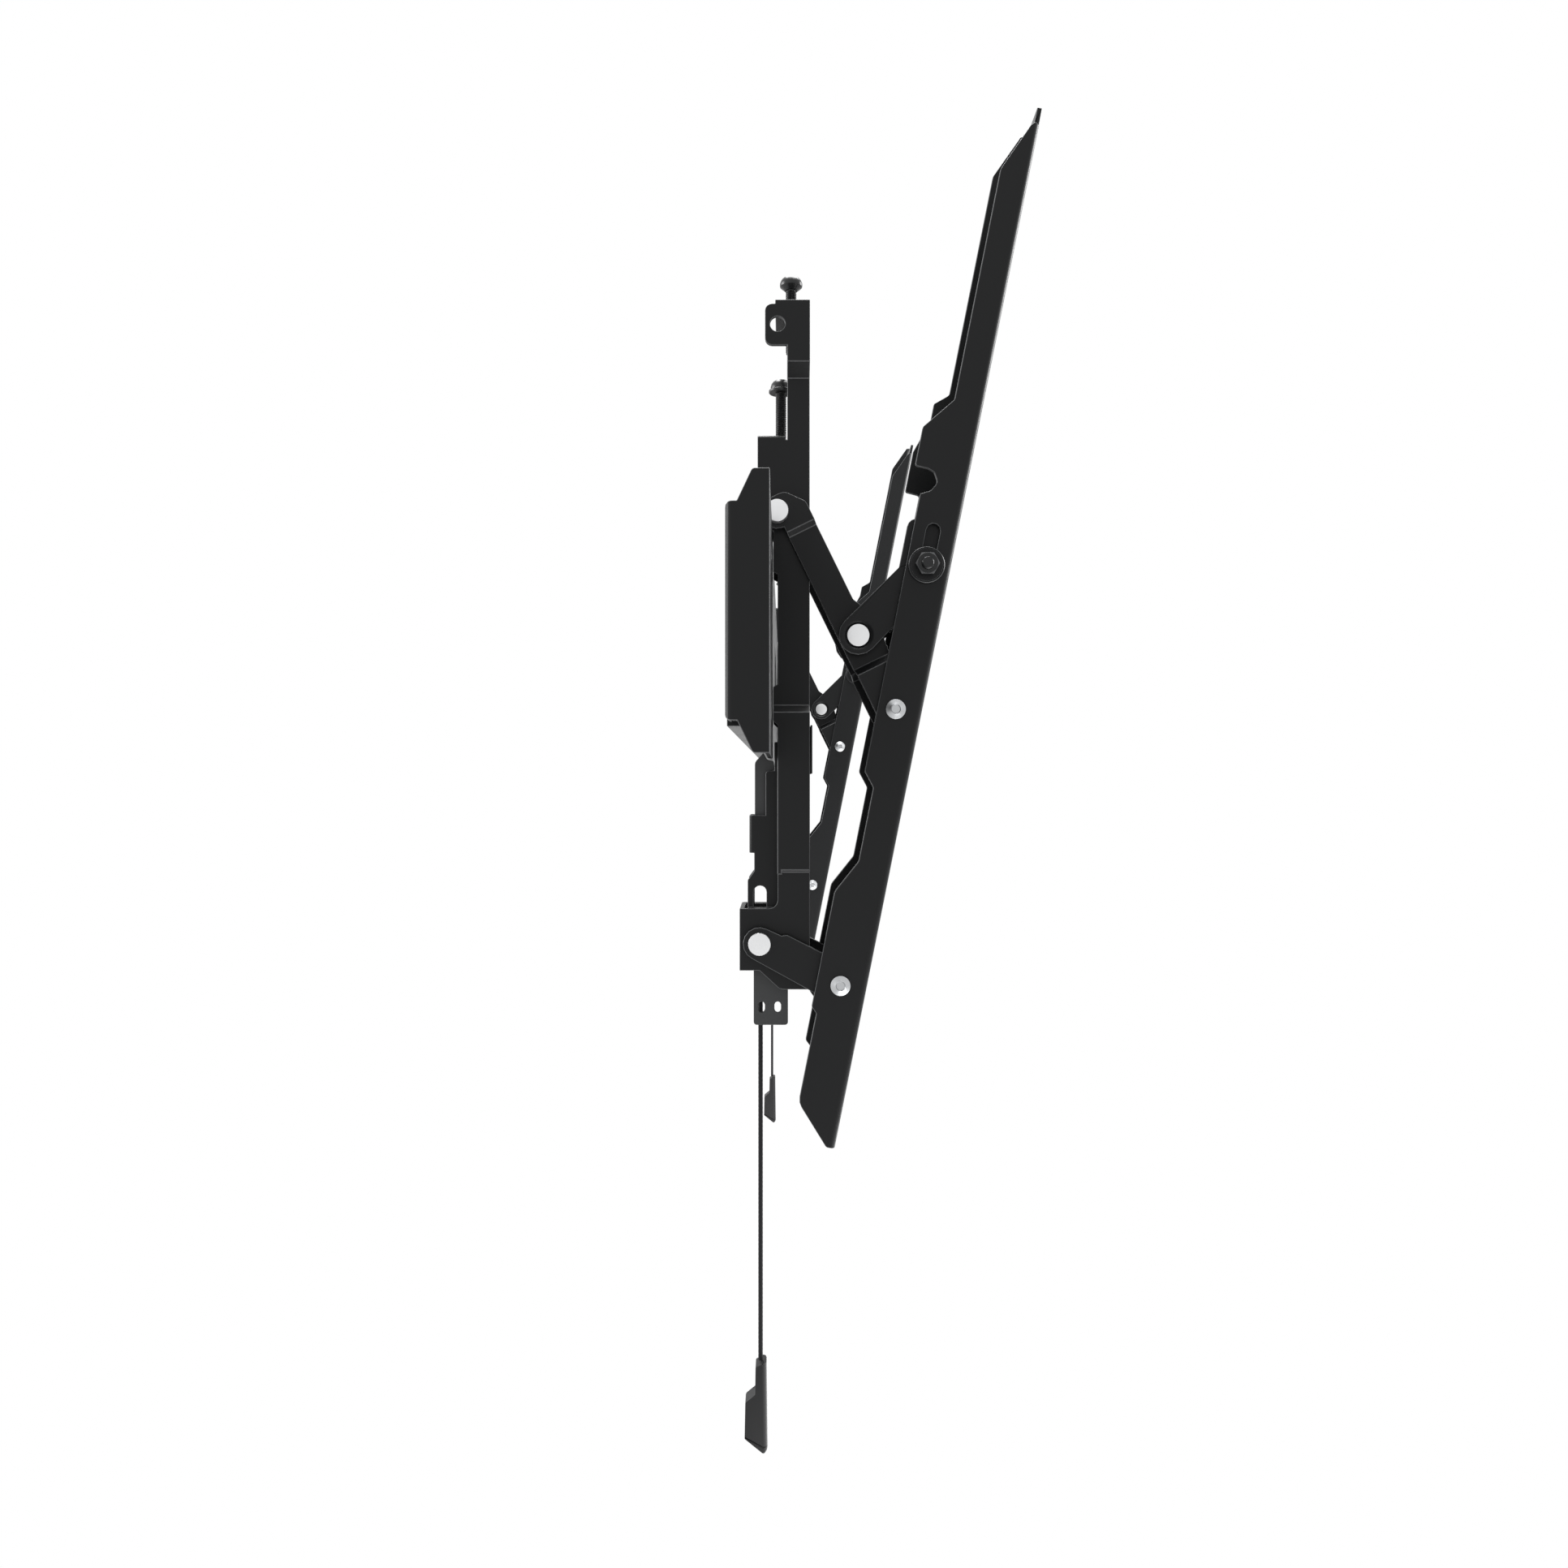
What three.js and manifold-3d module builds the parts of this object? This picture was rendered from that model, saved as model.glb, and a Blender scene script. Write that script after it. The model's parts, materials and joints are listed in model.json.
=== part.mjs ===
// Full motion TV wall mount: one wall plate, two hook brackets that slide along it,
// and on each bracket a folding linkage that carries a tall TV bracket.
// Millimetres, +Z up. The wall is the plane Y = 0 and the television is on the -Y side.
// Side outlines are drawn as [w, z] corners: w is the distance from the wall (-Y).
// d is the depth across one bracket, from 0 at its left face to BRACKET_WIDTH.

import * as THREE from 'three';
import { mergeVertices } from 'three/addons/utils/BufferGeometryUtils.js';
import Module from 'manifold-3d';

const wasm = await Module();
wasm.setup();

// ---------- driving dimensions ----------
const SHEET = 2;                 // sheet steel thickness
const BRACKET_WIDTH = 40;        // outside width of one TV bracket
const BRACKET_SPACING = 500;     // between the middles of the two brackets
const PLATE_LENGTH = 706.6;      // wall plate, end to end
const PLATE_FRONT = 15.75;       // wall plate's front face, from the wall
const PLATE_TOP = 46.8;          // top edge that the brackets hang on
const PLATE_BOTTOM = -50;
const PLATE_END_TOP = 49.5;      // raised stop at each end of the top edge
const GAP = 0.3;                 // clearance between touching pieces

// Nested sheet levels, measured in d from the bracket's outer face
const LEVEL_1 = 2.4;
const LEVEL_2 = 4.8;
const LEVEL_3 = 7.2;
const LEVEL_4 = 9.6;
const FOOT_LEVEL = 5.6;
const LATCH_LEVEL = 12;

// TV bracket frame: s runs down its outer face, t runs towards the wall
const TILT = THREE.MathUtils.degToRad(11.3);
const TV_TOP = [128, 216.3];
const TV_LENGTH = 438.8;
const TV_DEPTH = 18.8;

// Pivots
const PIN_A = [17.8, 53.9];      // upper arm on the hook channel
const PIN_B = [52, 1.8];         // tilt link on the upper arm
const PIN_D = [10.4, -128.2];    // lower arm on the hook channel
const JOINT_C = [253, 11.2];     // upper arm in the TV bracket [s, t]
const JOINT_E = [371, 11.2];     // lower arm in the TV bracket [s, t]
const BOLT_F = [191.4, 10.4];    // tilt link in the TV bracket's slot [s, t]
const SLOT_TOP = 176.5;          // s of the slot's upper centre
const PIN_R = 3;
const PIN_HEAD_R = 4.8;
const RIVET_R = 2.2;
const RIVET_HEAD_R = 4.15;
const BOLT_R = 2.6;
const ARM_LEAN = THREE.MathUtils.degToRad(26.1);
const LINK_END_R = 8.3;

// Pull cord
const CORD_W = 10.6;
const CORD_D = 15.4;
const CORD_R = 1;
const CORD_TOP = -147.3;
const CORD_END = -309.2;

// ---------- small helpers ----------
const X_OF = (d) => d - BRACKET_WIDTH / 2;

function solid(geometry) {
  geometry.deleteAttribute('normal');
  geometry.deleteAttribute('uv');
  const merged = mergeVertices(geometry, 1e-4);
  const mesh = new wasm.Mesh({
    numProp: 3,
    vertProperties: new Float32Array(merged.attributes.position.array),
    triVerts: new Uint32Array(merged.index.array),
  });
  return new wasm.Manifold(mesh);
}

function join(...solids) {
  return solids.reduce((sum, next) => sum.add(next));
}

function cut(body, ...tools) {
  return tools.reduce((rest, tool) => rest.subtract(tool), body);
}

// Corners are [x, y] or [x, y, fillet radius]
function rounded(corners) {
  const points = [];
  corners.forEach(([x, y, radius], i) => {
    const corner = new THREE.Vector2(x, y);
    if (!radius) {
      points.push(corner);
      return;
    }
    const before = corners[(i + corners.length - 1) % corners.length];
    const after = corners[(i + 1) % corners.length];
    const back = new THREE.Vector2(before[0] - x, before[1] - y).normalize();
    const ahead = new THREE.Vector2(after[0] - x, after[1] - y).normalize();
    const half = Math.acos(THREE.MathUtils.clamp(back.dot(ahead), -1, 1)) / 2;
    const reach = radius / Math.tan(half);
    const middle = back.clone().add(ahead).normalize().multiplyScalar(radius / Math.sin(half));
    const centre = corner.clone().add(middle);
    const start = back.multiplyScalar(reach).add(corner).sub(centre);
    const end = ahead.multiplyScalar(reach).add(corner).sub(centre);
    const sweep = Math.atan2(start.cross(end), start.dot(end));
    const steps = Math.max(2, Math.ceil(Math.abs(sweep) / (Math.PI / 6)));
    for (let k = 0; k <= steps; k += 1) {
      const spoke = start.clone().rotateAround(new THREE.Vector2(), (sweep * k) / steps);
      points.push(centre.clone().add(spoke));
    }
  });
  return points;
}

function circle(x, y, radius, segments = 20) {
  return Array.from({ length: segments }, (_, i) => {
    const angle = (2 * Math.PI * i) / segments;
    return new THREE.Vector2(x + radius * Math.cos(angle), y + radius * Math.sin(angle));
  });
}

// Straight slot with round ends, between two centres
function obround(x0, y0, x1, y1, radius, segments = 10) {
  const turn = Math.atan2(y1 - y0, x1 - x0);
  const points = [];
  [[x1, y1, -Math.PI / 2], [x0, y0, Math.PI / 2]].forEach(([x, y, first]) => {
    for (let k = 0; k <= segments / 2; k += 1) {
      const angle = turn + first + (2 * Math.PI * k) / segments;
      points.push(new THREE.Vector2(x + radius * Math.cos(angle), y + radius * Math.sin(angle)));
    }
  });
  return points;
}

function extrude(outline, depth, holes = []) {
  const shape = new THREE.Shape(outline);
  shape.holes = holes.map((hole) => new THREE.Path(hole));
  return new THREE.ExtrudeGeometry(shape, { depth, bevelEnabled: false });
}

// A [w, z] outline made solid from depth d0 to d1
function side(outline, d0, d1, holes = []) {
  const geometry = extrude(outline, d1 - d0, holes);
  const basis = new THREE.Matrix4().makeBasis(
    new THREE.Vector3(0, -1, 0),
    new THREE.Vector3(0, 0, 1),
    new THREE.Vector3(-1, 0, 0),
  );
  return solid(geometry.applyMatrix4(basis).translate(X_OF(d1), 0, 0));
}

// A [d, z] profile made solid from w0 to w1
function across(profile, w0, w1) {
  const geometry = extrude(profile.map(([d, z]) => new THREE.Vector2(X_OF(d), z)), w1 - w0);
  const basis = new THREE.Matrix4().makeBasis(
    new THREE.Vector3(1, 0, 0),
    new THREE.Vector3(0, 0, 1),
    new THREE.Vector3(0, -1, 0),
  );
  return solid(geometry.applyMatrix4(basis).translate(0, -w0, 0));
}

function block(d0, d1, w0, w1, z0, z1) {
  const geometry = new THREE.BoxGeometry(d1 - d0, w1 - w0, z1 - z0);
  return solid(geometry.translate(X_OF((d0 + d1) / 2), -(w0 + w1) / 2, (z0 + z1) / 2));
}

function rod([w, z], radius, d0, d1, segments = 20) {
  return side(circle(w, z, radius, segments), d0, d1);
}

// A turned solid on a vertical axis: profile of [radius, z]
function turned(profile, w, d, segments = 16) {
  const points = profile.map(([radius, z]) => new THREE.Vector2(radius, z));
  const geometry = new THREE.LatheGeometry(points, segments);
  return solid(geometry.rotateX(Math.PI / 2).translate(X_OF(d), -w, 0));
}

// A turned solid on the lateral axis at [w, z]: profile of [radius, d]
function turnedAcross(profile, [w, z], segments = 20) {
  const points = profile.map(([radius, d]) => new THREE.Vector2(radius, d));
  const geometry = new THREE.LatheGeometry(points, segments);
  return solid(geometry.rotateZ(-Math.PI / 2).translate(X_OF(0), -w, z));
}

// Joggled sheet: [z, level] stations from top to bottom, as a [d, z] band
function joggled(stations) {
  const outer = stations.map(([z, level]) => [level, z]);
  const inner = stations.map(([z, level]) => [level + SHEET, z]).reverse();
  return [...outer, ...inner].reverse();
}

const mirroredInX = (outline) => outline.map(({ x, y }) => new THREE.Vector2(-x, y)).reverse();

const mirrored = (profile) => profile.map(([d, z]) => [BRACKET_WIDTH - d, z]).reverse();

// Both walls of a joggled channel that share one outline
function twinWalls(outline, stations, holes = [], w0 = -20, w1 = 140) {
  const prism = side(outline, 0, BRACKET_WIDTH, holes);
  const near = joggled(stations);
  return join(
    prism.intersect(across(near, w0, w1)),
    prism.intersect(across(mirrored(near), w0, w1)),
  );
}

// TV bracket coordinates to [w, z]
function onBracket([s, t]) {
  return [
    TV_TOP[0] - s * Math.sin(TILT) - t * Math.cos(TILT),
    TV_TOP[1] - s * Math.cos(TILT) + t * Math.sin(TILT),
  ];
}

function bracketOutline(corners) {
  return rounded(corners.map(([s, t, radius]) => [...onBracket([s, t]), radius]));
}

// Turn a solid's geometry built upright at the origin about [w, z] by the lean
function leanAt(geometry, lean, [w, z]) {
  return geometry.rotateX(-lean).translate(0, -w, z);
}

function geometryOf(body) {
  const { vertProperties, triVerts } = body.getMesh();
  const geometry = new THREE.BufferGeometry();
  geometry.setAttribute('position', new THREE.BufferAttribute(new Float32Array(vertProperties), 3));
  geometry.setIndex(new THREE.BufferAttribute(new Uint32Array(triVerts), 1));
  return geometry;
}

// ---------- materials ----------
const paint = (color, roughness, metalness) => (
  new THREE.MeshStandardMaterial({ color, roughness, metalness })
);
const FINISH = {
  powderCoat: () => paint(0x202122, 0.62, 0.1),
  latchCoat: () => paint(0x3c3e40, 0.5, 0.3),
  pin: () => paint(0xd8dadb, 0.35, 0.9),
  rivet: () => paint(0xb4b6b8, 0.4, 0.9),
  blackZinc: () => paint(0x26282a, 0.45, 0.6),
  screw: () => paint(0x2e3032, 0.4, 0.7),
  spring: () => paint(0xa4a6a8, 0.4, 0.9),
  cord: () => paint(0x1c1c1e, 0.9, 0),
  plastic: () => paint(0x161617, 0.55, 0),
  rubber: () => paint(0x0e0e0f, 0.9, 0),
};

// ---------- wall plate ----------
const LAG_PITCH = 101.6;
const LAG_Z = 31;
const RAIL_WEB = 40;
const END_STOP = 12;             // width of the raised stops
const END_FOOT = 14;             // length of the lip that each end turns in along the wall
const BEND_R = 2.8;              // outside radius of a sheet bend
const WINDOW = { from: 24, to: 132, half: 18, corner: 8 };

function wallPlate() {
  const half = PLATE_LENGTH / 2;
  const centre = BRACKET_WIDTH / 2;
  const slots = [];
  for (let i = -3; i <= 3; i += 1) {
    [-LAG_Z, LAG_Z].forEach((z) => {
      slots.push(obround(i * LAG_PITCH - 10, z, i * LAG_PITCH + 10, z, 4.2));
    });
  }
  [-1, 1].forEach((way) => {
    slots.push(rounded([
      [way * WINDOW.from, -WINDOW.half, WINDOW.corner],
      [way * WINDOW.to, -WINDOW.half, WINDOW.corner],
      [way * WINDOW.to, WINDOW.half, WINDOW.corner],
      [way * WINDOW.from, WINDOW.half, WINDOW.corner],
    ]));
  });
  const stop = half - END_STOP;
  const face = rounded([
    [-half, PLATE_BOTTOM], [half, PLATE_BOTTOM], [half, PLATE_END_TOP], [stop, PLATE_END_TOP, 1],
    [stop, PLATE_TOP], [-stop, PLATE_TOP], [-stop, PLATE_END_TOP, 1], [-half, PLATE_END_TOP],
  ]);
  const geometry = extrude(face, SHEET, slots);
  const front = solid(geometry.rotateX(Math.PI / 2).translate(0, SHEET - PLATE_FRONT, 0));
  const flange = rounded([
    [PLATE_FRONT, PLATE_END_TOP], [9.6, PLATE_END_TOP, 1.5], [4.2, 38.1], [0, 38.1, 2],
    [0, -38.6, 2], [4.3, -38.6], [9.8, PLATE_BOTTOM, 1.5], [PLATE_FRONT, PLATE_BOTTOM],
  ]);
  // One end in plan: the sheet turns back to the wall, then in along it
  const band = rounded([
    [0, -PLATE_FRONT], [END_FOOT, -PLATE_FRONT], [END_FOOT, SHEET - PLATE_FRONT],
    [SHEET, SHEET - PLATE_FRONT], [SHEET, -SHEET, BEND_R - SHEET], [END_FOOT, -SHEET], [END_FOOT, 0],
    [0, 0, BEND_R],
  ]);
  const ends = [-1, 1].map((way) => {
    const geometry = extrude(way < 0 ? band : mirroredInX(band), PLATE_END_TOP - PLATE_BOTTOM);
    geometry.translate(way * half, 0, PLATE_BOTTOM);
    const [d0, d1] = [centre + way * half, centre + way * (half - END_FOOT)].sort((a, b) => a - b);
    return solid(geometry).intersect(side(flange, d0, d1));
  });
  return join(front, ...ends);
}

// Channel rail that stands the wall plate off the wall
function wallRail(way) {
  const half = PLATE_LENGTH / 2 - 16;
  const length = 2 * half;
  const back = PLATE_FRONT - SHEET - GAP;
  const inner = RAIL_WEB - 14;
  const slots = [];
  for (let i = -3; i <= 3; i += 1) {
    slots.push(obround(i * LAG_PITCH - 10, LAG_Z, i * LAG_PITCH + 10, LAG_Z, 4.2));
  }
  const sheet = () => extrude(
    rounded([[-half, inner], [half, inner], [half, RAIL_WEB], [-half, RAIL_WEB]]), SHEET, slots,
  ).rotateX(Math.PI / 2);
  const wallLip = solid(sheet());
  const frontLip = solid(sheet().translate(0, SHEET - back, 0));
  const web = solid(new THREE.BoxGeometry(length, back, SHEET).translate(0, -back / 2, RAIL_WEB - SHEET / 2));
  const rail = join(wallLip, frontLip, web);
  return way > 0 ? rail : solid(geometryOf(rail).rotateY(Math.PI));
}

// ---------- hook channel ----------
const FRONT_EDGE = 31.65;
const HOOK_STATIONS = [
  [146, LEVEL_1], [117, LEVEL_1], [112.2, LEVEL_4], [-27.3, LEVEL_4],
  [-30.5, LEVEL_2], [-97.2, LEVEL_2], [-98.2, FOOT_LEVEL], [-150, FOOT_LEVEL],
];

function hookChannel() {
  const spine = rounded([
    [FRONT_EDGE, 142.9], [17, 142.9], [17, 141.2], [12.7, 141.2, 2.9], [12.7, 123.8, 2.9], [22.1, 123.8],
    [22.1, 86], [21.4, 86], [21.4, 88.1], [9.4, 88.1], [9.4, 56], [5.6, 50.4, 1], [5.6, 41, 1],
    [13.4, 41, 1], [13.4, PLATE_TOP + GAP, 0.3], [16.1, PLATE_TOP + GAP, 0.3], [16.1, 29.6], [18, 28.6],
    [18, -18.4], [16.1, -19.4], [16.1, -34.2], [18, -36], [18, -113.6, 3.5], [1.9, -113.6],
    [1.9, -139.9], [10.3, -139.9], [18.6, -147.5, 2], [20.5, -147.9], [FRONT_EDGE, -147.9],
  ]);
  const holes = [circle(18, 132.7, 3.2, 20), circle(...PIN_A, PIN_R + GAP), circle(...PIN_D, PIN_R + GAP)];
  const farEar = block(35, 38, 12, 22.1, 123, 140.9);
  const walls = cut(twinWalls(spine, HOOK_STATIONS, holes), farEar);
  const strip = rounded([
    [19.6, -36], [18, -36], [18, -43], [16.6, -43], [16.6, -55.2], [12.85, -55.2, 1.4], [12.85, -74.2], [5.9, -74.2],
    [5.9, -90.3], [8, -90.3], [8, -98, 1], [5.2, -101.9, 1], [5.2, -115.3], [19.6, -115.3],
  ]);
  const slot = obround(10.5, -107, 10.5, -114.5, 2.75, 16);
  const strips = [[LEVEL_4, LEVEL_4 + SHEET], [28.4, 30.4]].map(([d0, d1]) => (
    cut(side(strip, d0, d1), side(slot, d0 - 1, d1 + 1))
  ));
  const steps = [[LEVEL_2, LEVEL_4 + SHEET], [28.4, 35.2]].map(([d0, d1]) => join(
    block(d0, d1, 18, 19.6, -99, -30.5),
    block(d0 === LEVEL_2 ? FOOT_LEVEL : d0, d1 === 35.2 ? 34.4 : d1, 5.2, 19.6, -115.3, -113.6),
  ));
  const topPlate = cut(
    block(LEVEL_1, 37.6, 17, FRONT_EDGE, 140.9, 142.9),
    turned([[0, 139], [2.75, 139], [2.75, 144], [0, 144]], 23.8, 20),
  );
  const tab = cut(
    block(LEVEL_4, 30.4, 9.4, 21.4, 86.1, 88.1),
    turned([[0, 84], [2.7, 84], [2.7, 89], [0, 89]], 19.4, 20),
    block(17.3, 22.7, 19.4, 22, 84, 89),
  );
  const webs = [
    block(LEVEL_4, 30.4, 18, 20, -49.5, 29),
    block(LEVEL_4, 30.4, 5.9, 7.9, -90.3, -74.2),
    block(FOOT_LEVEL, 34.4, 1.9, 3.9, -139.9, -113.6),
    block(16.4, 23.6, 18, 27, -49.5, -47.5),
  ];
  return join(walls, ...strips, ...steps, topPlate, tab, ...webs);
}

// Folded saddle that rests on the wall plate's top edge under the height screw
function lipSaddle() {
  const outline = rounded([
    [12.3, PLATE_TOP + GAP], [14.3, PLATE_TOP + GAP], [14.3, 60], [23.5, 60],
    [23.5, 62], [12.3, 62, 1],
  ]);
  return side(outline, 12, 28);
}

function bumperPad() {
  return block(LEVEL_2, 35.2, FRONT_EDGE + GAP, FRONT_EDGE + 1.05, -56.5, -36);
}

function screwShank(radius, tip) {
  return [[0, tip], [radius - 0.6, tip], [radius, tip + 0.8]];
}

// Long screw with a flanged pan head
function heightScrew() {
  return turned([
    ...screwShank(2.4, 62.3), [2.4, 109], [5.3, 109], [5.3, 111.5], [4.25, 113.8], [2.1, 114.6], [0, 114.6],
  ], 19.4, 20);
}

// Short screw whose head is conical underneath
function lockScrew() {
  return turned([
    ...screwShank(2.45, 126), [2.45, 153.5], [2.9, 153.6], [4.9, 155.4], [4.95, 156.6], [4.3, 158.3],
    [3, 159.1], [0, 159.2],
  ], 23.8, 20);
}

// ---------- latch, spring, cord ----------
function latchPlate() {
  const outline = rounded([
    [11.8, -47.6], [8.2, -51.6, 2.5], [8.2, -96, 1], [14.4, -96, 2], [14.4, -136, 2], [7.7, -136, 1],
    [7.7, -164.2, 1.3], [22.4, -164.2, 1.3], [22.3, -58, 1], [16.3, -52.9, 0.5], [16.3, -51.2], [13.5, -50.4],
  ]);
  const slots = [11.1, 18].map((w) => obround(w, -155.5, w, -157.5, 1.4, 8));
  const plate = side(outline, LATCH_LEVEL, LATCH_LEVEL + SHEET, slots);
  const lug = block(LATCH_LEVEL + SHEET / 2, 23, 17.5, 22.3, -95, -93);
  return join(plate, lug);
}

// Crimped sleeve, fixed to the back of the latch plate, that the cord leaves downwards
function cordFerrule() {
  return turned([
    [0, CORD_TOP + GAP], [1.2, CORD_TOP + GAP], [1.35, -146], [1.35, -140], [1, -139.3], [0, -139.3],
  ], CORD_W, CORD_D, 12);
}

// A vertical tension spring between the channel's lug and the latch's lug
const SPRING = { w: 20, d: 20, top: -49.9, bottom: -92.6, radius: 2.8, wire: 0.45, turns: 9 };

function latchSpring() {
  class Helix extends THREE.Curve {
    getPoint(k, target = new THREE.Vector3()) {
      const { w, d, top, bottom, radius, wire, turns } = SPRING;
      const angle = 2 * Math.PI * turns * k;
      const z = top - wire + (bottom - top + 2 * wire) * k;
      return target.set(X_OF(d) + radius * Math.cos(angle), -w + radius * Math.sin(angle), z);
    }
  }
  const section = new THREE.Shape(circle(0, 0, SPRING.wire, 5));
  return solid(new THREE.ExtrudeGeometry(section, {
    steps: SPRING.turns * 9, bevelEnabled: false, extrudePath: new Helix(),
  }));
}

// Route of the cord, straight down from the ferrule to the handle
const CORD_ROUTE = [CORD_TOP, -170, -200, -235, -270, CORD_END].map(
  (z) => new THREE.Vector3(X_OF(CORD_D), -CORD_W, z),
);

function pullCord() {
  const section = new THREE.Shape(circle(0, 0, CORD_R, 8));
  return solid(new THREE.ExtrudeGeometry(section, {
    steps: 30, bevelEnabled: false, extrudePath: new THREE.CatmullRomCurve3(CORD_ROUTE),
  }));
}

// Moulded grip with a narrow neck, and a flat seat in the neck for the cord's end
function cordHandle() {
  const outline = rounded([
    [13.2, -308.8, 0.6], [11.8, -308.8], [8.5, -310.6, 0.8], [8.3, -322.6, 1],
    [4.1, -325.9, 0.8], [3.8, -341.2, 0.8], [12, -347.9, 1], [13.7, -346, 1.2],
  ]);
  const floor = CORD_END - GAP;
  const seat = turned([[0, floor], [1.3, floor], [1.3, -300], [0, -300]], CORD_W, CORD_D, 12);
  return cut(side(outline, CORD_D - 4.2, CORD_D + 4.2), seat);
}

// ---------- arms ----------
const ARM_BOSS_R = 6.9;
const ARM_END_R = 7.9;
const ARM_RIGHT = 13;

// Upper arm, drawn upright with pin A at the origin: [b, -a]
function upperArm() {
  const lean = (point) => {
    const dw = point[0] - PIN_A[0];
    const dz = point[1] - PIN_A[1];
    const [c, s] = [Math.cos(ARM_LEAN), Math.sin(ARM_LEAN)];
    return [c * dw + s * dz, -s * dw + c * dz];
  };
  const end = lean(onBracket(JOINT_C));
  const middle = lean(PIN_B);
  const outline = rounded([
    [-ARM_BOSS_R, ARM_BOSS_R, ARM_BOSS_R - 0.1], [-ARM_BOSS_R, -ARM_BOSS_R, ARM_BOSS_R - 0.1],
    [end[0] - ARM_END_R, -ARM_BOSS_R],
    [end[0] - ARM_END_R, end[1] - ARM_END_R, ARM_END_R - 0.2],
    [end[0] + ARM_END_R, end[1] - ARM_END_R, ARM_END_R - 0.2],
    [end[0] + ARM_END_R, end[1] + 14], [ARM_RIGHT + 5.7, middle[1] + 4, 3], [ARM_RIGHT, middle[1] + 15, 2],
    [ARM_RIGHT, -1, 3], [6.5, ARM_BOSS_R, 4],
  ]);
  const holes = [
    circle(0, 0, PIN_R + GAP), circle(...middle, PIN_R + GAP), circle(...end, RIVET_R + GAP),
  ];
  const stations = [
    [20, LEVEL_2], [-9.4, LEVEL_2], [-11.4, LEVEL_3], [-74.2, LEVEL_3], [-77, LEVEL_1], [-110, LEVEL_1],
  ];
  const walls = twinWalls(outline, stations, holes, -30, 40);
  const web = block(LEVEL_3, BRACKET_WIDTH - LEVEL_3, ARM_RIGHT - SHEET, ARM_RIGHT, -49, -41);
  const arm = geometryOf(join(walls, web));
  return solid(leanAt(arm, ARM_LEAN, PIN_A));
}

// Plate outline between two round ends
function strapOutline([w0, z0], r0, [w1, z1], r1) {
  const along = Math.atan2(z1 - z0, w1 - w0);
  const points = [];
  [[w0, z0, r0, along + Math.PI / 2], [w1, z1, r1, along - Math.PI / 2]].forEach(([w, z, r, first]) => {
    for (let k = 0; k <= 8; k += 1) {
      const angle = first + (Math.PI * k) / 8;
      points.push(new THREE.Vector2(w + r * Math.cos(angle), z + r * Math.sin(angle)));
    }
  });
  return points;
}

// A tie across a strap-shaped pair of plates, along one edge
function edgeTie([w0, z0], [w1, z1], from, to, offset, thickness, d0, d1) {
  const length = Math.hypot(w1 - w0, z1 - z0);
  const [uw, uz] = [(w1 - w0) / length, (z1 - z0) / length];
  const at = (a, b) => new THREE.Vector2(w0 + a * uw - b * uz, z0 + a * uz + b * uw);
  const inner = offset - Math.sign(offset) * thickness;
  return side([at(from, offset), at(from, inner), at(to, inner), at(to, offset)], d0, d1);
}

function tiltLink() {
  const bolt = onBracket(BOLT_F);
  const strap = strapOutline(PIN_B, LINK_END_R, bolt, 7.6);
  const wing = bracketOutline([
    [172.3, 5.5, 3], [172.3, 21.3, 4], [198, 21.3, 3], [205, 27], [196, 9],
  ]);
  const plates = [[LEVEL_1, LEVEL_1 + SHEET], [35.6, 37.6]].map(([d0, d1]) => {
    const near = d0 === LEVEL_1;
    const plate = near ? join(side(strap, d0, d1), side(wing, d0, d1)) : side(strap, d0, d1);
    const cup = rod(PIN_B, 7.3, near ? LEVEL_1 : 33.2, near ? 6.8 : 37.6);
    const bowl = rod(PIN_B, PIN_HEAD_R + GAP, near ? 0 : 35.2, near ? LEVEL_2 : 40);
    return cut(join(plate, cup), bowl, rod(PIN_B, PIN_R + GAP, 0, 40), rod(bolt, BOLT_R + GAP, 0, 40));
  });
  const tie = edgeTie(PIN_B, bolt, 15, 28, -8, SHEET, LEVEL_1, 37.6);
  return join(...plates, tie);
}

function lowerArm() {
  const end = onBracket(JOINT_E);
  const outline = strapOutline(PIN_D, 7, end, LINK_END_R);
  const holes = [circle(...PIN_D, PIN_R + GAP), circle(...end, 3.5, 20)];
  const shoulder = rounded([[19.4, -124.8], [22, -124.4, 1.5], [48.1, -137.7], [30, -138], [16, -130]].reverse());
  const plates = [[LEVEL_1, LEVEL_1 + SHEET], [35.6, 37.6]].map(([d0, d1]) => (
    join(side(outline, d0, d1, holes), side(shoulder, d0, d1))
  ));
  const tie = edgeTie(PIN_D, end, 29, 38, 7.7, SHEET, LEVEL_1, 37.6);
  return join(...plates, tie);
}

// ---------- pins, rivets and the slot bolt ----------
function throughPin(place, headFrom, headTo) {
  const far = BRACKET_WIDTH;
  return turnedAcross([
    [0, headFrom], [PIN_HEAD_R - 0.4, headFrom], [PIN_HEAD_R, headFrom + 0.4], [PIN_HEAD_R, headTo],
    [PIN_R, headTo], [PIN_R, far - headTo], [PIN_HEAD_R, far - headTo],
    [PIN_HEAD_R, far - headFrom - 0.4], [PIN_HEAD_R - 0.4, far - headFrom], [0, far - headFrom],
  ], place);
}

function stubPin(near) {
  const profile = [
    [0, 3], [PIN_HEAD_R - 0.3, 3], [PIN_HEAD_R, 3.3], [PIN_HEAD_R, LEVEL_2 - GAP], [PIN_R, LEVEL_2 - GAP],
    [PIN_R, 9.2], [0, 9.2],
  ];
  return turnedAcross(near ? profile : mirroredProfile(profile), PIN_B);
}

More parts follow.
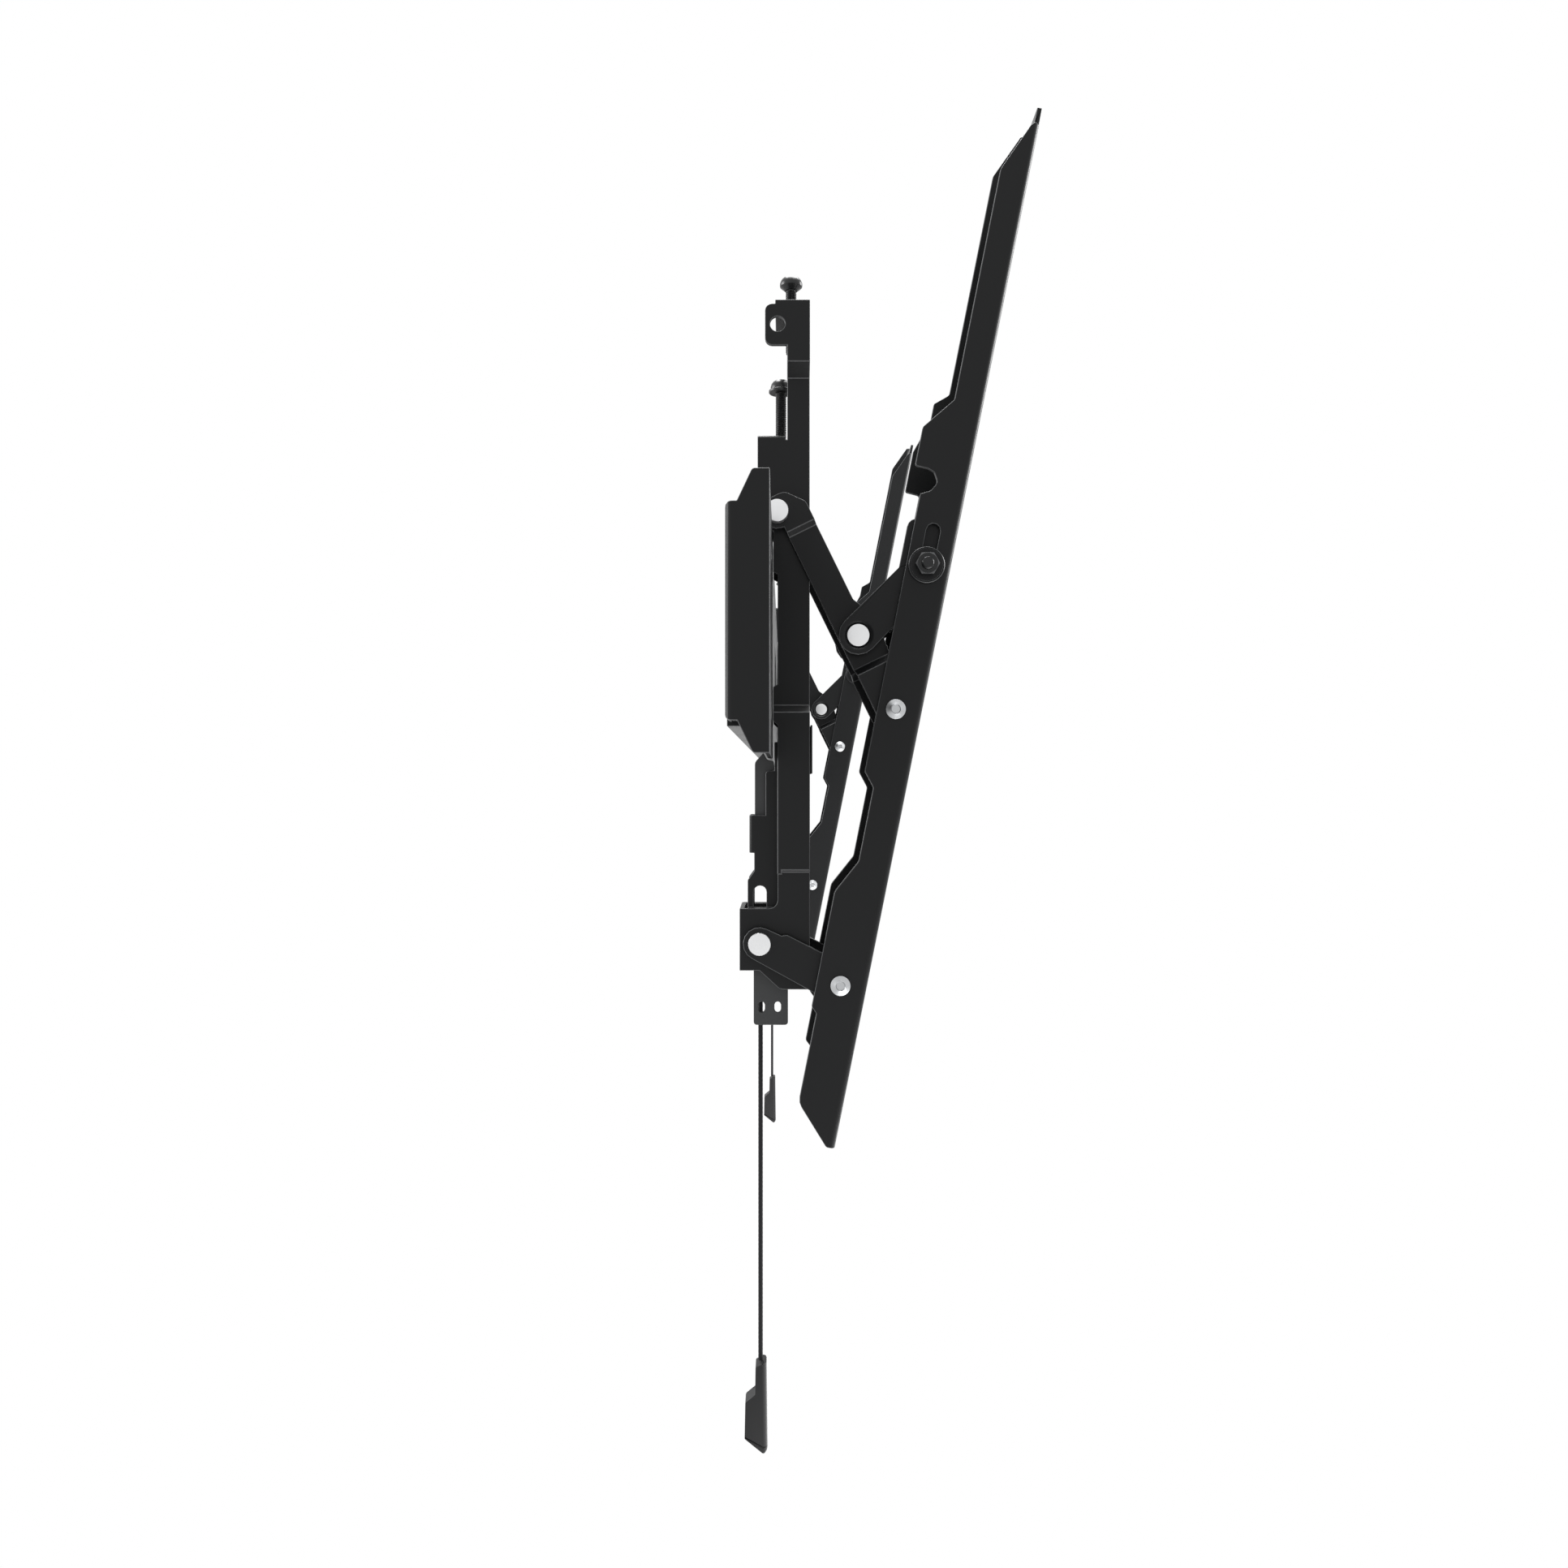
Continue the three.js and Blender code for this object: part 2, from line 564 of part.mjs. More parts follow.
function rivet(place, near) {
  const profile = [
    [0, -1.7], [2, -1.7], [2.6, -1.3], [3.4, -1.5], [RIVET_HEAD_R, -1], [RIVET_HEAD_R, -GAP], [RIVET_R, -GAP],
    [RIVET_R, 4.4], [0, 4.4],
  ];
  return turnedAcross(near ? profile : mirroredProfile(profile), place);
}

function mirroredProfile(profile) {
  return profile.map(([radius, d]) => [radius, BRACKET_WIDTH - d]).reverse();
}

const WASHER_R = 7.6;
const WASHER_THICK = 1.4;
const NUT_ACROSS_FLATS = 8.8;
const NUT_HEIGHT = 3.6;

function slotBolt() {
  const place = onBracket(BOLT_F);
  const start = -GAP * 2 - WASHER_THICK - NUT_HEIGHT - 1.4;
  const head = BRACKET_WIDTH + WASHER_THICK + GAP * 2;
  return join(
    turnedAcross([
      [0, start], [BOLT_R - 0.5, start], [BOLT_R, start + 0.5], [BOLT_R, head + 1], [0, head + 1],
    ], place, 20),
    rod(place, NUT_ACROSS_FLATS / 2 / Math.cos(Math.PI / 6), head, head + 3.4, 6),
  );
}

function slotNut() {
  const place = onBracket(BOLT_F);
  const outer = -2 * GAP - WASHER_THICK - NUT_HEIGHT;
  const hexagon = circle(...place, NUT_ACROSS_FLATS / 2 / Math.cos(Math.PI / 6), 6);
  return side(hexagon, outer, outer + NUT_HEIGHT, [circle(...place, BOLT_R + 0.1, 20)]);
}

function slotWasher(near) {
  const place = onBracket(BOLT_F);
  const from = near ? -GAP - WASHER_THICK : BRACKET_WIDTH + GAP;
  return side(circle(...place, WASHER_R, 28), from, from + WASHER_THICK, [circle(...place, BOLT_R + 0.1, 20)]);
}

// ---------- TV bracket ----------
function tvBracket() {
  const width = BRACKET_WIDTH;
  const nearFlange = bracketOutline([
    [0.4, -1], [0.4, 2.2], [2, 3.6, 1], [22.4, 12.4, 3], [121, 12.4, 2], [134.8, 23.2, 2], [151.3, 23.2, 1],
    [151.5, 17.6], [152.5, 14.8, 2], [156.5, 12.5, 2.5], [160.5, 14.8, 2], [162.4, 18.8, 1], [281, 18.8, 2],
    [287, 13.9, 2], [318.5, 13.9, 3], [332.8, 21.3, 4], [382, 21.3, 1], [384.4, 18.8, 1], [422.5, 18.8, 6],
    [438.6, 3.8, 1.5], [TV_LENGTH, -1],
  ]);
  const farFlange = bracketOutline([
    [-14, -1], [-14, 3.4, 1], [6, 12.2, 3], [106.5, 12.2, 2], [111.7, 18.2, 1], [119.5, 18.2, 1],
    [134.8, 23.2, 2], [153.2, 23.2, 1], [153.6, 16.6, 1], [169.8, 16.6], [171, 18.8, 1], [281, 18.8, 2],
    [287, 13.9, 2], [318.5, 13.9, 3], [332.8, 21.3, 4], [382, 21.3, 1], [384.4, 18.8, 1], [404, 18.8, 1.5],
    [410, 12], [424, -1],
  ]);
  const lengthwise = (outline, from, to) => {
    const geometry = extrude(rounded(outline), to - from).rotateX(Math.PI);
    geometry.translate(0, 0, -from);
    return solid(leanAt(geometry, -TILT, TV_TOP));
  };
  const toX = (corners) => corners.map(([d, t, radius]) => [X_OF(d), -t, radius]);
  const shell = lengthwise(toX([[0, 0, 2.8], [width, 0, 2.8], [width, 30], [0, 30]]), -20, TV_LENGTH + 5);
  const inside = lengthwise(
    toX([[SHEET, SHEET, 0.8], [width - SHEET, SHEET, 0.8], [width - SHEET, 31], [SHEET, 31]]),
    -21, TV_LENGTH + 6,
  );
  const channel = cut(shell, inside);
  const nearPart = channel.intersect(side(nearFlange, -1, width - SHEET - 0.8));
  const farPart = channel.intersect(side(farFlange, width - SHEET - 0.8, width + 1));
  const lip = side(bracketOutline([[-7.4, 0.1], [-7.4, 2.1], [1.5, 2], [1.5, 0]]), 2.8, width - 2.8);
  const slot = obround(...onBracket([SLOT_TOP, BOLT_F[1]]), ...onBracket([BOLT_F[0] + 0.3, BOLT_F[1]]), BOLT_R + 0.35);
  const fasteners = [
    side(slot, -2, width + 2),
    rod(onBracket(JOINT_C), RIVET_R + GAP, -2, width + 2, 20),
    rod(onBracket(JOINT_E), RIVET_R + GAP, -2, width + 2, 20),
  ];
  const faceSlots = Array.from({ length: 11 }, (_, i) => {
    const s = 28 + 38 * i;
    const geometry = extrude(obround(0, -s + 8, 0, -s - 8, 4.2), 8).rotateX(Math.PI / 2).translate(0, 3, 0);
    return solid(leanAt(geometry, -TILT, TV_TOP));
  });
  return cut(join(nearPart, farPart, lip), ...fasteners, ...faceSlots);
}

// ---------- assembly ----------
function sidePieces() {
  const placeC = onBracket(JOINT_C);
  const placeE = onBracket(JOINT_E);
  return [
    ['hook_channel', hookChannel(), FINISH.powderCoat],
    ['lip_saddle', lipSaddle(), FINISH.latchCoat],
    ['bumper_pad', bumperPad(), FINISH.rubber],
    ['height_screw', heightScrew(), FINISH.screw],
    ['lock_screw', lockScrew(), FINISH.screw],
    ['latch_plate', latchPlate(), FINISH.latchCoat],
    ['latch_spring', latchSpring(), FINISH.spring],
    ['cord_ferrule', cordFerrule(), FINISH.spring],
    ['pull_cord', pullCord(), FINISH.cord],
    ['cord_handle', cordHandle(), FINISH.plastic],
    ['upper_arm', upperArm(), FINISH.powderCoat],
    ['tilt_link', tiltLink(), FINISH.powderCoat],
    ['lower_arm', lowerArm(), FINISH.powderCoat],
    ['tv_bracket', tvBracket(), FINISH.powderCoat],
    ['upper_pivot_pin', throughPin(PIN_A, 0.6, LEVEL_2 - GAP), FINISH.pin],
    ['lower_pivot_pin', throughPin(PIN_D, 0.6, LEVEL_1 - GAP), FINISH.pin],
    ['link_pin_left', stubPin(true), FINISH.pin],
    ['link_pin_right', stubPin(false), FINISH.pin],
    ['arm_rivet_left', rivet(placeC, true), FINISH.rivet],
    ['arm_rivet_right', rivet(placeC, false), FINISH.rivet],
    ['foot_rivet_left', rivet(placeE, true), FINISH.rivet],
    ['foot_rivet_right', rivet(placeE, false), FINISH.rivet],
    ['slot_bolt', slotBolt(), FINISH.blackZinc],
    ['slot_nut', slotNut(), FINISH.blackZinc],
    ['slot_washer_left', slotWasher(true), FINISH.blackZinc],
    ['slot_washer_right', slotWasher(false), FINISH.blackZinc],
  ];
}

function named(name, body, finish) {
  const mesh = new THREE.Mesh(geometryOf(body), finish());
  mesh.name = name;
  return mesh;
}

const mount = new THREE.Group();
mount.add(
  named('wall_plate', wallPlate(), FINISH.powderCoat),
  named('upper_wall_rail', wallRail(1), FINISH.powderCoat),
  named('lower_wall_rail', wallRail(-1), FINISH.powderCoat),
);

const pieces = sidePieces();
[['left', -1], ['right', 1]].forEach(([word, way]) => {
  const bracket = new THREE.Group();
  bracket.position.x = (way * BRACKET_SPACING) / 2;
  pieces.forEach(([name, body, finish]) => bracket.add(named(`${word}_${name}`, body, finish)));
  mount.add(bracket);
});

export default mount;
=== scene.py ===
"""Looks of the full motion TV wall mount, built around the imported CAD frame.
Metres, +Z up, the wall at Y = 0 and the television on the -Y side."""

import json
import math

import bmesh
import bpy
from mathutils import Matrix, Vector
from mathutils.bvhtree import BVHTree


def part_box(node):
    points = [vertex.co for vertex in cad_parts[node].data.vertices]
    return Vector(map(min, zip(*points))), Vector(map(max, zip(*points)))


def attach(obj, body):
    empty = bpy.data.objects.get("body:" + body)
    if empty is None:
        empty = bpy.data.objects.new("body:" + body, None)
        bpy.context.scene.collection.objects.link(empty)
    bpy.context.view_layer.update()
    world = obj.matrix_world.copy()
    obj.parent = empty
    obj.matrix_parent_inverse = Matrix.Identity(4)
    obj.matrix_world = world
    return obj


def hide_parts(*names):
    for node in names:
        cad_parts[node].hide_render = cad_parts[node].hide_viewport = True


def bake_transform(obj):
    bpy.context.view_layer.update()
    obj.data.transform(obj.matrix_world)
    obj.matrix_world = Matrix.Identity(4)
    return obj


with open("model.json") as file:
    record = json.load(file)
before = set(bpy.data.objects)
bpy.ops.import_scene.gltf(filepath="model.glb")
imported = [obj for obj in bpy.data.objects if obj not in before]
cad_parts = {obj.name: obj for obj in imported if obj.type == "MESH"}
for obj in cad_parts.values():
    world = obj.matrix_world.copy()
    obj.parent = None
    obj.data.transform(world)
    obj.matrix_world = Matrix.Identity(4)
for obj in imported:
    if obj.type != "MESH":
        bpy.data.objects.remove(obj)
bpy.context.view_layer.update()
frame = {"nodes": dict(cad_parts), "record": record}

SIDES = {"left": -0.25, "right": 0.25}      # X of each bracket's middle

# Cord route, repeated from the CAD: X from the bracket's middle, then Y and Z
CORD_X = -0.0046
CORD_Y = -0.0106
CORD_Z = [-0.1473, -0.170, -0.200, -0.235, -0.270, -0.3092]
CORD_R = 0.001


# ---------- camera ----------
CAMERA_PLACE = (-0.770, -0.0207, -0.0609)      # beside the mount, looking along +X
CAMERA_LENS = 27.43                            # millimetres, on a sensor 36 mm wide
CAMERA_SENSOR = 36


def make_camera():
    data = bpy.data.cameras.new("camera")
    data.lens = CAMERA_LENS
    data.sensor_width = CAMERA_SENSOR
    data.clip_start = 0.01
    data.clip_end = 50
    camera = bpy.data.objects.new("camera", data)
    camera.location = CAMERA_PLACE
    camera.rotation_euler = (math.radians(90), 0, math.radians(-90))
    bpy.context.scene.collection.objects.link(camera)
    bpy.context.scene.camera = camera


# ---------- materials ----------
def new_material(name, color, roughness, metallic=0.0, specular=0.5):
    material = bpy.data.materials.new(name)
    material.use_nodes = True
    shader = material.node_tree.nodes["Principled BSDF"]
    shader.inputs["Base Color"].default_value = (*color, 1)
    shader.inputs["Roughness"].default_value = roughness
    shader.inputs["Metallic"].default_value = metallic
    shader.inputs["Specular IOR Level"].default_value = specular
    return material, shader


def add_noise(material, scale, detail=2.0):
    tree = material.node_tree
    place = tree.nodes.new("ShaderNodeTexCoord")
    noise = tree.nodes.new("ShaderNodeTexNoise")
    noise.inputs["Scale"].default_value = scale
    noise.inputs["Detail"].default_value = detail
    tree.links.new(place.outputs["Object"], noise.inputs["Vector"])
    return noise


def add_bump(material, shader, noise, strength, distance):
    bump = material.node_tree.nodes.new("ShaderNodeBump")
    bump.inputs["Strength"].default_value = strength
    bump.inputs["Distance"].default_value = distance
    material.node_tree.links.new(noise.outputs["Fac"], bump.inputs["Height"])
    material.node_tree.links.new(bump.outputs["Normal"], shader.inputs["Normal"])


def vary(material, shader, socket, noise, low, high):
    ramp = material.node_tree.nodes.new("ShaderNodeMapRange")
    ramp.inputs["To Min"].default_value = low
    ramp.inputs["To Max"].default_value = high
    material.node_tree.links.new(noise.outputs["Fac"], ramp.inputs["Value"])
    material.node_tree.links.new(ramp.outputs["Result"], shader.inputs[socket])


def powder_coat(name, color, roughness, specular):
    """Satin powder coat with fine orange peel."""
    material, shader = new_material(name, color, roughness, 0, specular)
    add_bump(material, shader, add_noise(material, 1400, 3), 0.1, 0.00006)
    vary(material, shader, "Roughness", add_noise(material, 60), roughness - 0.05, roughness + 0.05)
    return material


def bare_metal(name, color, roughness):
    """Plated or drawn steel with faint marks."""
    material, shader = new_material(name, color, roughness, 1)
    noise = add_noise(material, 500)
    vary(material, shader, "Roughness", noise, roughness - 0.04, roughness + 0.05)
    add_bump(material, shader, noise, 0.03, 0.00002)
    return material


def soft_material(name, color, roughness, scale, distance):
    """Plastic, rubber or fabric with a fine grain."""
    material, shader = new_material(name, color, roughness, 0, 0.2)
    add_bump(material, shader, add_noise(material, scale, 4), 0.25, distance)
    return material


def make_materials():
    return {
        "powder_coat": powder_coat("powder_coat", (0.0098, 0.0101, 0.0105), 0.36, 0.14),
        # Lighter coat put on edge bevels and chamfers: a painted highlight standing in for the light their
        # edges catch
        "painted_highlight_coat": powder_coat("painted_highlight_coat", (0.05, 0.051, 0.053), 0.34, 0.35),
        "latch_coat": powder_coat("latch_coat", (0.04, 0.041, 0.042), 0.4, 0.2),
        "pin_zinc": bare_metal("pin_zinc", (0.74, 0.745, 0.75), 0.36),
        "rivet_steel": bare_metal("rivet_steel", (0.47, 0.48, 0.49), 0.38),
        "black_zinc": powder_coat("black_zinc", (0.0085, 0.009, 0.0095), 0.26, 0.3),
        "screw": powder_coat("screw", (0.012, 0.0125, 0.013), 0.3, 0.35),
        "spring_steel": bare_metal("spring_steel", (0.5, 0.51, 0.52), 0.3),
        "cord": soft_material("cord", (0.012, 0.012, 0.013), 0.85, 2500, 0.0001),
        "handle_plastic": soft_material("handle_plastic", (0.0095, 0.0095, 0.01), 0.42, 1800, 0.00003),
        "rubber": soft_material("rubber", (0.008, 0.008, 0.008), 0.8, 900, 0.0001),
    }


# ---------- mesh helpers ----------
PAINTED_HIGHLIGHT = 1          # material index of edges and chamfers, given a lighter coat as a painted highlight


def paint_slope_highlights(bm):
    """Gives the chamfers of a piece that is turned about the X axis a lighter coat, a painted highlight."""
    bmesh.ops.recalc_face_normals(bm, faces=bm.faces)
    for face in bm.faces:
        if 0.25 < abs(face.normal.x) < 0.96:
            face.material_index = PAINTED_HIGHLIGHT


def finish_mesh(node, bm, slot, smooth_angle=35, rides=True):
    """Turns a bmesh into a piece that stands for its CAD node and rides on the node's body."""
    name = node + "_looks"
    bmesh.ops.recalc_face_normals(bm, faces=bm.faces)
    mesh = bpy.data.meshes.new(name)
    bm.to_mesh(mesh)
    bm.free()
    mesh.shade_smooth()
    mesh.set_sharp_from_angle(angle=math.radians(smooth_angle))
    mesh.materials.append(materials[slot])
    # Pieces with faces marked for it also get the lighter coat of the painted edge highlight.
    if any(polygon.material_index == PAINTED_HIGHLIGHT for polygon in mesh.polygons):
        mesh.materials.append(materials["painted_highlight_coat"])
    piece = bpy.data.objects.new(name, mesh)
    bpy.context.scene.collection.objects.link(piece)
    if rides:
        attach(piece, body_name(node))
    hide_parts(node)
    return piece


def join_all(bm, rings):
    """Skin over a row of rings, left open at both ends."""
    for lower, upper in zip(rings, rings[1:]):
        join_rings(bm, lower, upper)


def join_closed(bm, rings):
    """Skin over a row of rings, with a face across both ends."""
    join_all(bm, rings)
    bm.faces.new(rings[0])
    bm.faces.new(rings[-1])


def add_lathe(bm, profile, place, segments):
    """Turned form: profile of (radius, height) corners, closed by caps where the radius is 0."""
    rings = []
    for radius, height in profile:
        if radius == 0:
            rings.append([bm.verts.new(place @ Vector((0, 0, height)))])
            continue
        rings.append([
            bm.verts.new(place @ Vector((
                radius * math.cos(2 * math.pi * i / segments),
                radius * math.sin(2 * math.pi * i / segments),
                height,
            )))
            for i in range(segments)
        ])
    join_all(bm, rings)


def join_rings(bm, lower, upper):
    count = max(len(lower), len(upper))
    if count == 1:
        return
    for i in range(count):
        k = (i + 1) % count
        if len(lower) == 1:
            bm.faces.new((lower[0], upper[i], upper[k]))
        elif len(upper) == 1:
            bm.faces.new((lower[i], upper[0], lower[k]))
        else:
            bm.faces.new((lower[i], upper[i], upper[k], lower[k]))


def middle(node):
    low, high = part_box(node)
    return (low + high) / 2


def across(node):
    """How long a node is along the X axis."""
    low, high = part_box(node)
    return high.x - low.x


def lateral(node, from_left=True):
    """Place of a turned piece on the X axis: its height runs inwards from the node's left or right end."""
    low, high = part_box(node)
    centre = middle(node)
    end = low.x if from_left else high.x
    turn = Matrix.Rotation(math.radians(90 if from_left else -90), 4, "Y")
    return Matrix.Translation((end, centre.y, centre.z)) @ turn


def body_name(node):
    for body, members in frame["record"]["behaviour"]["bodies"].items():
        if node in members:
            return body
    return None


SLIVER = 0.00006       # corners closer than this are merged
BROAD = 0.0034         # a face that reaches this far is more than the edge of a sheet
TOUCHING = 0.00002     # a point this close to a face lies on it
FOLD_LENGTH = 0.006    # shortest edge that counts as a fold
FOLD_R = 0.0018        # offset that rounds a fold
CUP_R = 0.0019         # offset that rolls the rim of a drawn cup
EDGE_R = 0.00028       # offset that softens a cut edge
BEND_ANGLE = 38        # a sharper corner than this is softened
SHADE_ANGLE = 62       # a sharper corner than this is shaded as a corner


def merge_slivers(bm):
    """Merges the slivers that the CAD cuts leave, so that a bevel runs clean."""
    bmesh.ops.remove_doubles(bm, verts=bm.verts, dist=SLIVER)
    bmesh.ops.dissolve_limit(
        bm, angle_limit=math.radians(0.8), use_dissolve_boundaries=False,
        verts=bm.verts, edges=bm.edges, delimit=set(),
    )


def round_edges(bm, edges, offset, segments, material=0):
    bmesh.ops.bevel(
        bm, geom=edges, offset=offset, offset_type="OFFSET", segments=segments, profile=0.5,
        affect="EDGES", clamp_overlap=False, harden_normals=False, material=material,
    )


def is_broad(surface, face, edge):
    """Whether a face goes on for longer than a sheet is thick behind the middle of one of its edges."""
    loop = next(loop for loop in edge.link_loops if loop.face == face)
    start, end = loop.vert.co, loop.link_loop_next.vert.co
    inward = face.normal.cross(end - start).normalized()
    return surface.find_nearest((start + end) / 2 + inward * BROAD)[3] < TOUCHING


def ends_square(edge):
    """Whether the edges that meet both ends of an edge leave it at a fair angle."""
    along = edge.verts[1].co - edge.verts[0].co
    for vert in edge.verts:
        others = [other for other in vert.link_edges if other is not edge]
        if len(others) != 2:
            return False
        for other in others:
            lean = along.angle(other.other_vert(vert).co - vert.co)
            if not math.radians(55) < lean < math.radians(125):
                return False
    return True


def fold_edges(bm):
    """Long outer corners between two broad faces: the folds of the sheet, not its cut edges."""
    surface = BVHTree.FromBMesh(bm)
    return [
        edge for edge in bm.edges
        if len(edge.link_faces) == 2 and edge.calc_length() > FOLD_LENGTH and edge.is_convex
        and math.radians(60) < edge.calc_face_angle(0) < math.radians(110)
        and all(is_broad(surface, face, edge) for face in edge.link_faces) and ends_square(edge)
    ]


def rim_edges(bm, centre, radius, x):
    """Edges of a round rim about the X axis through a centre, in the plane at x."""
    def on_rim(vert):
        away = math.hypot(vert.co.y - centre.y, vert.co.z - centre.z)
        return abs(away - radius) < 0.0001 and abs(vert.co.x - x) < 0.0001
    return [edge for edge in bm.edges if all(on_rim(vert) for vert in edge.verts)]


def refined(node, slot, width=EDGE_R, folded=False, cups=()):
    """The CAD node's own shape with softened edges. The folds of a folded piece are rounded, and so are
    the rims (centre, radius, x) of drawn cups."""
    bm = bmesh.new()
    bm.from_mesh(frame["nodes"][node].data)
    merge_slivers(bm)
    for rim in cups:
        round_edges(bm, rim_edges(bm, *rim), CUP_R, 5)
    if folded:
        round_edges(bm, fold_edges(bm), FOLD_R, 4)
    edges = [
        edge for edge in bm.edges
        if len(edge.link_faces) == 2 and edge.calc_face_angle(0) > math.radians(BEND_ANGLE)
    ]
    # The bevels of powder-coated pieces get the lighter coat: a painted highlight along the cut edges.
    round_edges(bm, edges, width, 2, PAINTED_HIGHLIGHT if slot == "powder_coat" else 0)
    piece = finish_mesh(node, bm, slot, SHADE_ANGLE)
    weighted = piece.modifiers.new("weighted", "WEIGHTED_NORMAL")
    weighted.keep_sharp = True


# ---------- cords and handles ----------
CORD_LAYS = 3          # twisted strands
CORD_PITCH = 0.006
CORD_GROOVE = 0.07     # depth of the grooves between strands, as a share of the radius
CORD_ROWS = 240
CORD_AROUND = 18


def pull_cord(side, x):
    """Twisted cord straight down from the ferrule to the handle."""
    route = [Vector((x + CORD_X, CORD_Y, z)) for z in CORD_Z]
    top, bottom = route[0].z, route[-1].z
    bm = bmesh.new()
    rings = []
    for k in range(CORD_ROWS + 1):
        z = top + (bottom - top) * k / CORD_ROWS
        ring = []
        for i in range(CORD_AROUND):
            angle = 2 * math.pi * i / CORD_AROUND
            turn = angle + 2 * math.pi * z / CORD_PITCH
            strand = abs(math.cos(CORD_LAYS * turn / 2))
            radius = CORD_R * (1 - CORD_GROOVE + CORD_GROOVE * strand)
            ring.append(bm.verts.new((
                route[0].x + radius * math.cos(angle), route[0].y + radius * math.sin(angle), z,
            )))
        rings.append(ring)
    join_closed(bm, rings)
    return finish_mesh(f"{side}_pull_cord", bm, "cord", 60), route


ARC_STEP = math.radians(15)


def arc_corners(corners):
    """Outline points from (w, z, fillet radius) corners."""
    points = []
    for i, (w, z, radius) in enumerate(corners):
        corner = Vector((w, z))
        if not radius:
            points.append(corner)
            continue
        back = (Vector(corners[i - 1][:2]) - corner).normalized()
        ahead = (Vector(corners[(i + 1) % len(corners)][:2]) - corner).normalized()
        half = back.angle(ahead) / 2
        centre = corner + (back + ahead).normalized() * (radius / math.sin(half))
        start = corner + back * (radius / math.tan(half)) - centre
        end = corner + ahead * (radius / math.tan(half)) - centre
        sweep = -start.angle_signed(end)
        steps = max(2, math.ceil(abs(sweep) / ARC_STEP))
        for k in range(steps + 1):
            turn = Matrix.Rotation(sweep * k / steps, 2)
            points.append(centre + turn @ start)
    return points


def add_slab(bm, outline, x0, x1, chamfer):
    """Prism of a (w, z) outline across X with its rims chamfered."""
    slab = bmesh.new()
    low = [slab.verts.new((x0, -w, z)) for w, z in outline]
    high = [slab.verts.new((x1, -w, z)) for w, z in outline]
    join_rings(slab, low, high)
    rims = [slab.faces.new(low), slab.faces.new(high)]
    bmesh.ops.recalc_face_normals(slab, faces=slab.faces)
    round_edges(slab, list({edge for face in rims for edge in face.edges}), chamfer, 1)
    mesh = bpy.data.meshes.new("slab")
    slab.to_mesh(mesh)
    slab.free()
    bm.from_mesh(mesh)
    bpy.data.meshes.remove(mesh)


# Rounding of a grip's side: how far in from the side, how much smaller the outline is there, and how
# much is cut from its room edge
GRIP_SIDE = [
    (0.0, 0.0003, 0.0021), (0.0001, 0.0001, 0.0015), (0.0004, 0.0, 0.0009), (0.0011, 0.0, 0.0003),
    (0.0021, 0.0, 0.0),
]
# The grip's room edge leans: its w at a height, and how much w grows for each metre down
GRIP_EDGE_W = 0.0132
GRIP_EDGE_Z = -0.3062
GRIP_EDGE_LEAN = 0.0125


def add_rounded_grip(bm, outline, x0, x1):
    """Slab of a (w, z) outline across X, with small rims and a large rounding along its room edge."""
    rows = [(x0 + step, rim, cut) for step, rim, cut in GRIP_SIDE]
    rows += [(x1 - step, rim, cut) for step, rim, cut in reversed(GRIP_SIDE)]
    middle_w = sum(w for w, _ in outline) / len(outline)
    middle_z = sum(z for _, z in outline) / len(outline)
    rings = []
    for x, rim, cut in rows:
        ring = []
        for w, z in outline:
            room_edge = GRIP_EDGE_W - (z - GRIP_EDGE_Z) * GRIP_EDGE_LEAN
            inward = Vector((middle_w - w, middle_z - z)).normalized() * rim
            ring.append(bm.verts.new((x, -min(w + inward.x, room_edge - cut), z + inward.y)))
        rings.append(ring)
    join_closed(bm, rings)


# Handle outlines, side view: (w, z, fillet radius)
HANDLE_GRIP = [
    (0.01323, -0.3088, 0.0004), (0.0118, -0.3092, 0.0002), (0.0085, -0.3106, 0.0008),
    (0.0083, -0.3226, 0.001), (0.0041, -0.3259, 0.0008), (0.00383, -0.3405, 0), (0.01365, -0.3447, 0),
]
HANDLE_CAP = [
    (0.00383, -0.34075, 0), (0.0038, -0.3412, 0.0004), (0.0120, -0.34785, 0.001),
    (0.0137, -0.3460, 0.0012), (0.01366, -0.34495, 0),
]
HANDLE_CORE = [(0.0125, -0.343, 0), (0.0050, -0.339, 0), (0.0050, -0.3425, 0), (0.0122, -0.3465, 0)]
CORE_INSET = 0.001
CORE_CHAMFER = 0.0003


def cord_handle(side):
    """Moulded grip with a narrow neck, a cap across its foot, and a core that joins the two."""
    node = f"{side}_cord_handle"
    low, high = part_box(node)
    bm = bmesh.new()
    add_rounded_grip(bm, arc_corners(HANDLE_GRIP), low.x, high.x)
    add_rounded_grip(bm, arc_corners(HANDLE_CAP), low.x, high.x)
    add_slab(bm, arc_corners(HANDLE_CORE), low.x + CORE_INSET, high.x - CORE_INSET, CORE_CHAMFER)
    return finish_mesh(node, bm, "handle_plastic")


def make_cords():
    for side, x in SIDES.items():
        cord, route = pull_cord(side, x)
        handle = cord_handle(side)


# ---------- pins and rivets ----------
PIN_HEAD_R = 0.0048
PIN_SHAFT_R = 0.003
PIN_SOFT = 0.0004      # rounding of a pin's rims
STUB_HEAD_DEPTH = 0.0015
UPPER_HEAD_DEPTH = 0.0039
LOWER_HEAD_DEPTH = 0.0015
RIVET_HEAD_R = 0.00415
RIVET_SHAFT_R = 0.0022
ROUND = 64             # segments round a pin, a rivet or a washer


